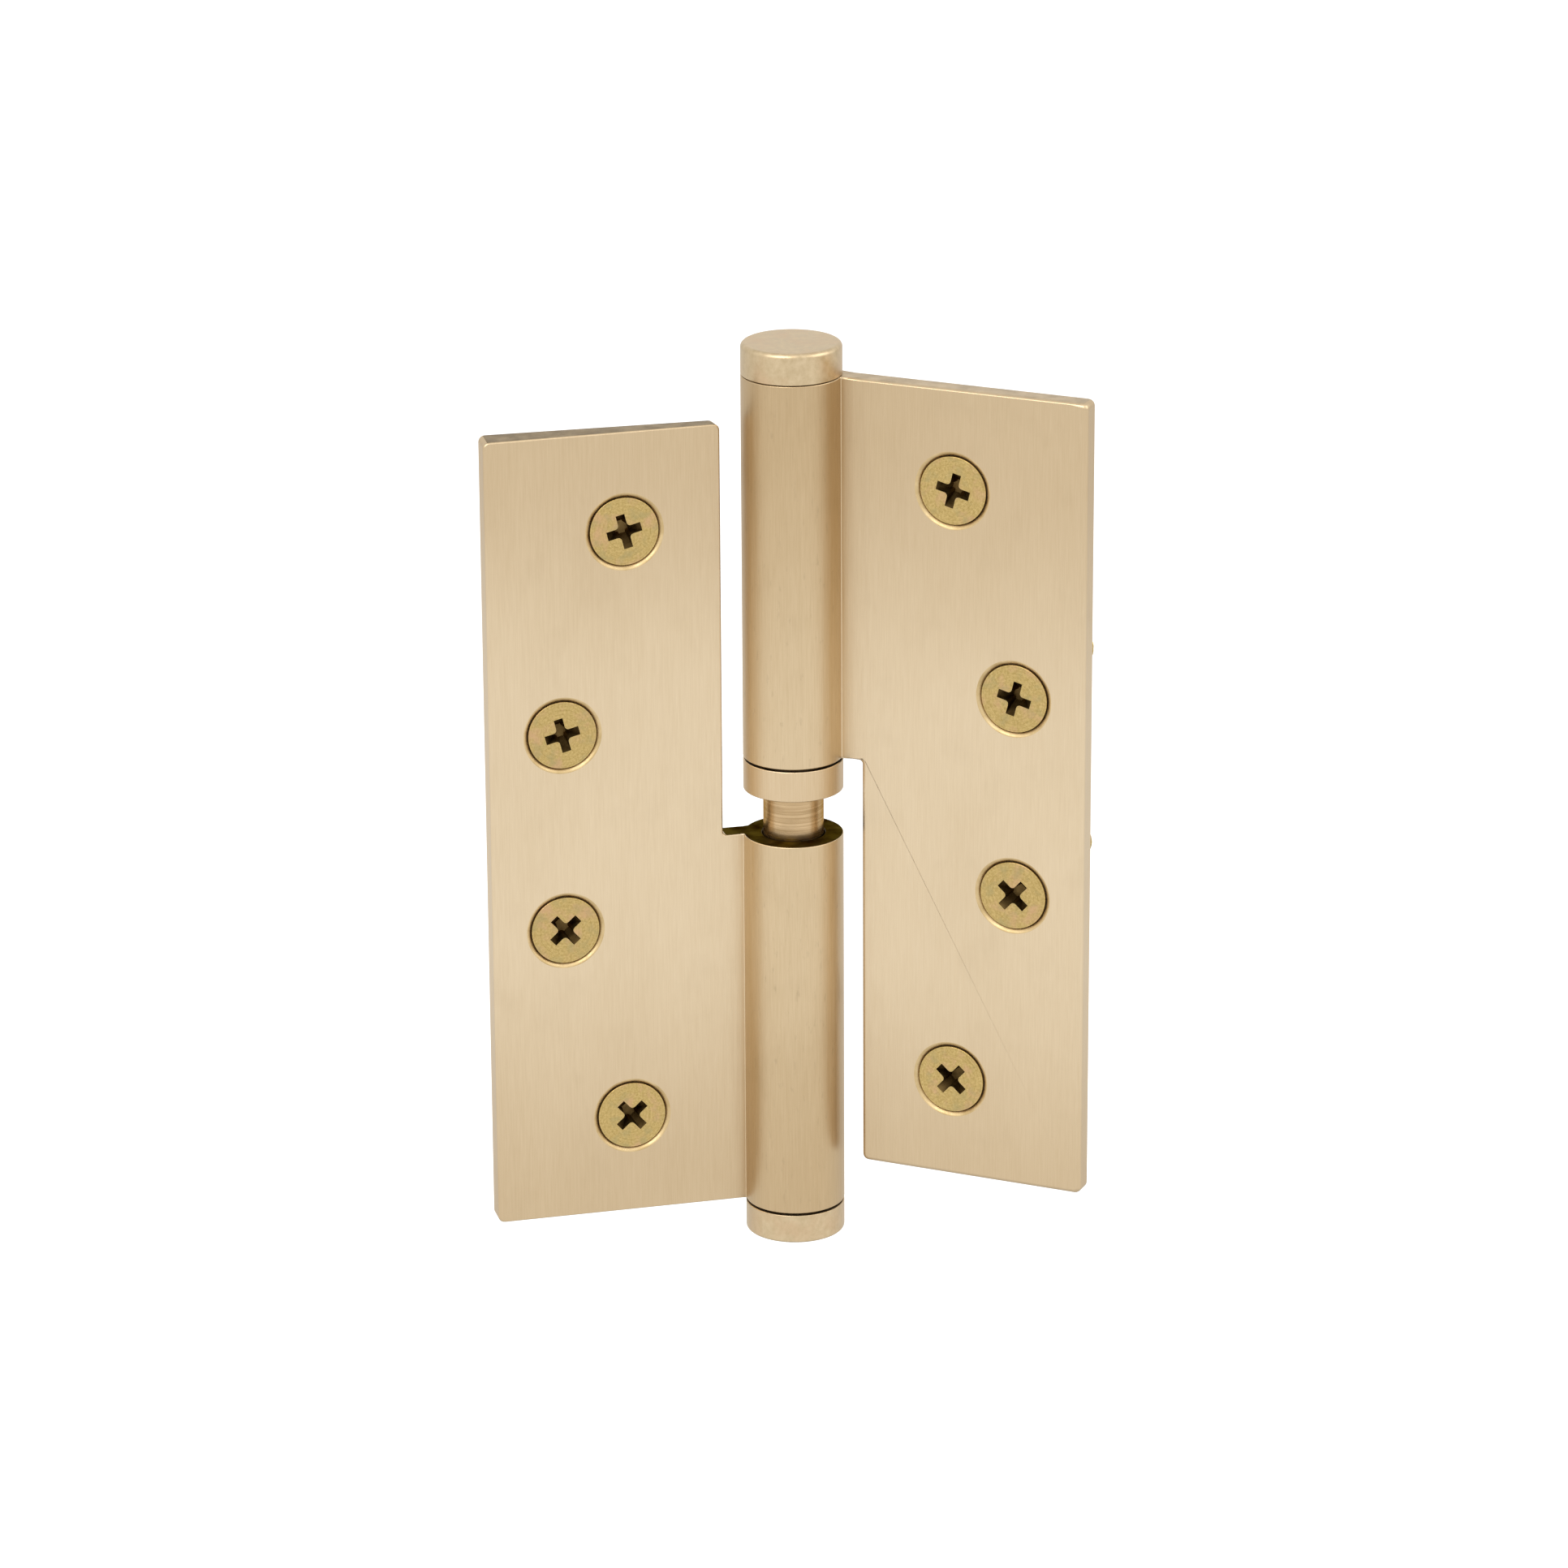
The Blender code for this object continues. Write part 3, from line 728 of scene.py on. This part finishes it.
# Ball cage and balls
# Twelve steel balls in the pockets of a flat brass ring. They roll between the races, so the ring turns half
# as far as the door leaf.
BALL_RADIUS = 0.5 * MM
BALL_COUNT = 12
CAGE_THICKNESS = 0.3 * MM
BALL_MIDDLE = lower_race_foot + RACE_THICKNESS + BEARING_PLAY + BALL_RADIUS
PITCH_RADIUS = (RACE_INNER + RACE_OUTER) / 2
POCKET_RADIUS = BALL_RADIUS + BEARING_PLAY
POCKET_STEPS = 32

cage_brass = lathed("cage_brass", CAP_TONES, rough=(0.28, 0.4), marks=2600)
cage = washer(BALL_MIDDLE - CAGE_THICKNESS / 2, BALL_MIDDLE + CAGE_THICKNESS / 2)
cage = new_object("ball_cage_metal", cage, cage_brass)
pocket = [(0, CUT_OVER, 0), (POCKET_RADIUS, CUT_OVER, 0), (POCKET_RADIUS, -CUT_OVER, 0), (0, -CUT_OVER, 0)]
for number in range(BALL_COUNT):
    around = Matrix.Rotation(number / BALL_COUNT * 2 * math.pi, 4, "Z")
    spot = around @ Vector((PITCH_RADIUS, 0, BALL_MIDDLE))
    punch = turned(pocket, steps=POCKET_STEPS)
    bmesh.ops.translate(punch, vec=spot, verts=punch.verts)
    cut(cage, new_object("punch", punch, cage_brass))
    sphere = bmesh.new()
    bmesh.ops.create_uvsphere(sphere, u_segments=24, v_segments=16, radius=BALL_RADIUS)
    bmesh.ops.translate(sphere, vec=spot, verts=sphere.verts)
    ball = new_object(f"bearing_ball_metal_{number + 1:02d}", sphere, bearing_steel)
    show_metal(ball, LIFTED_PLACE, "balls", [f"bearing_ball_{number + 1:02d}"])
show_metal(cage, LIFTED_PLACE, "balls", ["ball_cage"])


# Upper race and retainer
# The second steel washer, and a flanged brass sleeve pushed up into the door leaf's barrel that keeps the
# bearing together when the door is lifted off.
NECK_LENGTH = 2.5 * MM
OPEN_ANGLE = math.radians(142)  # between the leaves, zero when shut

upper_race_foot = BALL_MIDDLE + BALL_RADIUS + BEARING_PLAY
upper_race = new_object("upper_race_metal", washer(upper_race_foot), bearing_steel)
DOOR_PLACE = LIFTED_PLACE @ Matrix.Rotation(OPEN_ANGLE - math.pi, 4, "Z")
show_metal(upper_race, DOOR_PLACE, "door", ["upper_race"])

flange = upper_race_foot + RACE_THICKNESS + BEARING_PLAY
retainer = turned(
    [
        (NECK_OUTER, KNUCKLE_FOOT + NECK_LENGTH, WASHER_EDGE),
        (NECK_OUTER, flange + RACE_THICKNESS, 0),
        (RACE_OUTER, flange + RACE_THICKNESS, WASHER_EDGE),
        (RACE_OUTER, flange, WASHER_EDGE),
        (RACE_INNER, flange, WASHER_EDGE),
        (RACE_INNER, KNUCKLE_FOOT + NECK_LENGTH, WASHER_EDGE),
    ]
)
retainer = new_object("bearing_retainer_metal", retainer, cage_brass)
show_metal(retainer, DOOR_PLACE, "door", ["bearing_retainer"])


# Door leaf
# The same bar as the frame leaf, turned over, with its barrel at the top. It carries the door, and its wider
# bore holds the bush.
BUSH_WALL = 0.8 * MM
BUSH_RADIUS = PIN_RADIUS + RUNNING + BUSH_WALL
UPPER_BORE = BUSH_RADIUS + FIT
DOOR_END_TONES = ((0.470, 0.370, 0.240), (0.640, 0.510, 0.340))

door_end_brass = sawn("door_end_brass", DOOR_END_TONES)
door_finishes = (leaf_brass, barrel_brass, door_end_brass, seat_shaded_brass)
door_leaf = make_leaf("door_leaf_metal", leaf_blank(DOOR_EDGE), 1, True, UPPER_BORE, door_finishes)
show_metal(door_leaf, DOOR_PLACE, "door", ["door_leaf"])


# Knuckle bush
# An oil-filled bronze sleeve pressed into the door leaf's barrel, which runs on the pin.
BUSH_LENGTH = 36.0 * MM
BUSH_TONES = ((0.300, 0.170, 0.085), (0.460, 0.290, 0.160))

bush_bronze = lathed("bush_bronze", BUSH_TONES, rough=(0.34, 0.5), marks=1800)
bush_foot = KNUCKLE_FOOT + NECK_LENGTH + SEAM
bush_corners = (
    (BUSH_RADIUS, bush_foot + BUSH_LENGTH),
    (BUSH_RADIUS, bush_foot),
    (PIN_RADIUS + RUNNING, bush_foot),
    (PIN_RADIUS + RUNNING, bush_foot + BUSH_LENGTH),
)
bush = turned([(radius, level, FINE_EDGE) for radius, level in bush_corners])
bush = new_object("knuckle_bush_metal", bush, bush_bronze)
show_metal(bush, DOOR_PLACE, "door", ["knuckle_bush"])


# Top cap
# The button that closes the door leaf's barrel, pressed in like the bottom one but tight against the knuckle
# and with a fuller edge.
TOP_SEAM = 0.1 * MM
TOP_ROUNDING = 0.6 * MM

top_cap = cap(TOP, 1, TOP_SEAM, BUSH_RADIUS, TOP_ROUNDING)
top_cap = new_object("top_cap_metal", top_cap, cap_brass)
show_metal(top_cap, DOOR_PLACE, "door", ["top_cap"])


# Screws
# Eight number 8 countersunk wood screws, one inch long, yellow plated, with a cross recess in a turned head,
# a plain neck and a thread that runs out to a point. One is made and copied to each hole.
HEAD_RADIUS = 4.28 * MM
HEAD_LAND = 0.2 * MM
HEAD_RECESS = 0.1 * MM          # head below the leaf's face
HEAD_STEPS = 64
SCREW_LENGTH = 25.4 * MM
SHANK_RADIUS = 2.0 * MM
NECK_RADIUS = 1.95 * MM
THREAD_CORE = 1.45 * MM
THREAD_START = 8.0 * MM
THREAD_PITCH = 1.7 * MM
THREAD_TIP = 3.0 * MM
THREAD_STEPS = 32
RIDGE_HALF = 0.28 * THREAD_PITCH
RIDGE_ROOT = 0.8 * THREAD_CORE  # sunk into the core
RUN_OUT = 0.4 * THREAD_PITCH
STARTING_SIZE = 0.6             # the ridge's size at its start, as a share of its full one
ENDING_SIZE = 0.05
RECESS_SPAN = 4.6 * MM
RECESS_WIDTH = 1.15 * MM
RECESS_DEPTH = 2.2 * MM
SPAN_TAPER = 0.35               # the recess's size at its bottom, as a share of its mouth
WIDTH_TAPER = 0.7
RECESS_CORNER = 0.45 * MM
RECESS_BEND_STEPS = 4
RECESS_ANGLES = (14, 14, 42, 42)  # degrees, top row first
PLATE_TONES = ((0.400, 0.280, 0.090), (0.670, 0.490, 0.205))
PLATE_PINK = (0.660, 0.400, 0.240)
PLATE_GREEN = (0.400, 0.330, 0.150)
# painted shade deep in the cross recess
RECESS_SHADE_TONES = ((0.090, 0.055, 0.018), (0.230, 0.150, 0.055))
RECESS_GLINT = (0.45, 0.32, 0.15)
TURNING_DEPTH = 0.004 * MM


def plated(name):
    """Yellow plating: olive gold with faint pink and green bands over the head's turning marks."""
    finish, tree, shader = metal(name)
    place = node(tree, "ShaderNodeTexCoord")
    turning = node(tree, "ShaderNodeMapping", [("Vector", place.outputs["UV"]), ("Scale", (9000, 3, 1))])
    rings = node(
        tree, "ShaderNodeTexNoise", [("Vector", turning.outputs[0]), ("Scale", 1.0), ("Detail", 3.0)]
    ).outputs[0]
    bands = pattern(tree, (480, 480, 480), detail=4.0)
    greens = pattern(tree, (620, 560, 620), detail=4.0)
    grain = pattern(tree, (3800, 3800, 3800), detail=3.0)
    shade = maths(tree, "MULTIPLY_ADD", rings, 0.5, maths(tree, "MULTIPLY", grain, 0.5))
    colour = tint(tree, spread(tree, shade, 0.0, 1.0, 0.36, 0.64), *PLATE_TONES)
    colour = tint(tree, spread(tree, bands, 0.0, 0.55, 0.5, 0.68), colour, PLATE_PINK)
    colour = tint(tree, spread(tree, greens, 0.0, 0.6, 0.52, 0.7), colour, PLATE_GREEN)
    dress(tree, shader, colour, spread(tree, bands, 0.24, 0.38), relief(tree, shade, TURNING_DEPTH))
    return finish


def thread():
    """The thread's ridge: a small triangle swept down the core, thinning at both ends."""
    ridge = bmesh.new()
    section = [(RIDGE_ROOT, RIDGE_HALF), (SHANK_RADIUS, 0), (RIDGE_ROOT, -RIDGE_HALF)]
    corners = [ridge.verts.new((radius, 0, height - THREAD_START)) for radius, height in section]
    ring = [ridge.edges.new((corners[i], corners[(i + 1) % 3])) for i in range(3)]
    ridge.faces.new(corners)
    turns = (SCREW_LENGTH - THREAD_START - RUN_OUT) / THREAD_PITCH
    steps = int(turns * THREAD_STEPS)
    swept = bmesh.ops.spin(
        ridge,
        geom=corners + ring,
        cent=(0, 0, 0),
        axis=(0, 0, 1),
        dvec=(0, 0, -THREAD_PITCH / THREAD_STEPS),
        angle=2 * math.pi * steps / THREAD_STEPS,
        steps=steps,
    )
    ridge.faces.new([vert for vert in swept["geom_last"] if isinstance(vert, bmesh.types.BMVert)])
    for vert in ridge.verts:
        depth = -vert.co.z
        starting = min(1.0, STARTING_SIZE + (depth - THREAD_START) / THREAD_PITCH)
        ending = min(1.0, max(ENDING_SIZE, (SCREW_LENGTH - depth) / THREAD_TIP))
        vert.co.xy *= min(starting, ending)
    bmesh.ops.recalc_face_normals(ridge, faces=ridge.faces)
    return ridge


def screw_blank():
    """A screw before its recess is punched and its thread rolled, head's top at zero and point down."""
    slope = math.tan(SINK_HALF_ANGLE)
    cone_end = HEAD_LAND + (HEAD_RADIUS - SHANK_RADIUS) / slope
    blank = turned(
        [
            (0, 0, 0),
            (HEAD_RADIUS, 0, 0.07 * MM),
            (HEAD_RADIUS, -HEAD_LAND, 0.05 * MM),
            (NECK_RADIUS, -cone_end, 0.3 * MM),
            (NECK_RADIUS, -THREAD_START, 0.2 * MM),
            (THREAD_CORE, -THREAD_START - THREAD_PITCH, 0.2 * MM),
            (THREAD_CORE, THREAD_TIP - SCREW_LENGTH, 0.5 * MM),
            (0, -SCREW_LENGTH, 0),
        ],
        steps=HEAD_STEPS,
    )
    return new_object("screw_blank", blank, screw_plate)


def recess_punch():
    """The cross recess's punch: four arms with rounded inner corners, narrowing and shortening downwards."""
    punch = bmesh.new()
    bmesh.ops.create_grid(punch, x_segments=3, y_segments=3, size=1.0)
    corners = [face for face in punch.faces if min(map(abs, face.calc_center_median().xy)) > 0.5]
    bmesh.ops.delete(punch, geom=corners, context="FACES")
    for vert in punch.verts:
        sizes = [RECESS_SPAN if abs(reach) > 0.9 else RECESS_WIDTH for reach in vert.co.xy]
        vert.co.xy = [math.copysign(size / 2, reach) for size, reach in zip(sizes, vert.co.xy)]
    inner = [vert for vert in punch.verts if max(abs(vert.co.x), abs(vert.co.y)) < RECESS_WIDTH]
    bmesh.ops.dissolve_faces(punch, faces=punch.faces[:])
    bevel(punch, inner, RECESS_CORNER, "VERTICES", RECESS_BEND_STEPS)
    grown = bmesh.ops.extrude_face_region(punch, geom=punch.faces[:])["geom"]
    for vert in punch.verts:
        vert.co.z = HEAD_LAND
    for vert in grown:
        if isinstance(vert, bmesh.types.BMVert):
            for axis in (0, 1):
                share = SPAN_TAPER if abs(vert.co[axis]) > RECESS_WIDTH else WIDTH_TAPER
                vert.co[axis] *= share
            vert.co.z = -RECESS_DEPTH
    bmesh.ops.recalc_face_normals(punch, faces=punch.faces)
    return new_object("recess_punch", punch, recess_shaded_metal)


def note_radius(mesh):
    """Keeps each corner's distance from the screw's axis and its depth, for the turning marks."""
    marks = mesh.uv_layers.new(name="turning")
    for loop in mesh.loops:
        spot = mesh.vertices[loop.vertex_index].co
        marks.data[loop.index].uv = (spot.xy.length, spot.z)


screw_plate = plated("screw_plate")
# the recess walls wear dark painted shade
recess_shaded_metal = sawn("recess_shaded_metal", RECESS_SHADE_TONES, stretch=(1500, 1500, 1500), glint=RECESS_GLINT)
screw = screw_blank()
cut(screw, recess_punch())
full = bmesh.new()
full.from_mesh(screw.data)
ridge_mesh = bpy.data.meshes.new("ridge")
ridge = thread()
ridge.to_mesh(ridge_mesh)
ridge.free()
full.from_mesh(ridge_mesh)
bpy.data.meshes.remove(ridge_mesh)
full.to_mesh(screw.data)
full.free()
note_radius(screw.data)

for prefix, side, place, body in (("frame", -1, FRAME_PLACE, "frame"), ("door", 1, DOOR_PLACE, "door")):
    for row, (x, z) in enumerate(hole_places(side)):
        copy = bpy.data.objects.new(f"{prefix}_screw_metal_{row + 1}", screw.data.copy())
        bpy.context.scene.collection.objects.link(copy)
        driven = (
            Matrix.Translation((x, LEAF_SETBACK + HEAD_RECESS, z))
            @ Matrix.Rotation(math.pi / 2, 4, "X")
            @ Matrix.Rotation(-side * math.radians(RECESS_ANGLES[row]), 4, "Z")
        )
        show_metal(copy, place @ driven, body, [f"{prefix}_screw_{row + 1}"])
bpy.data.objects.remove(screw)
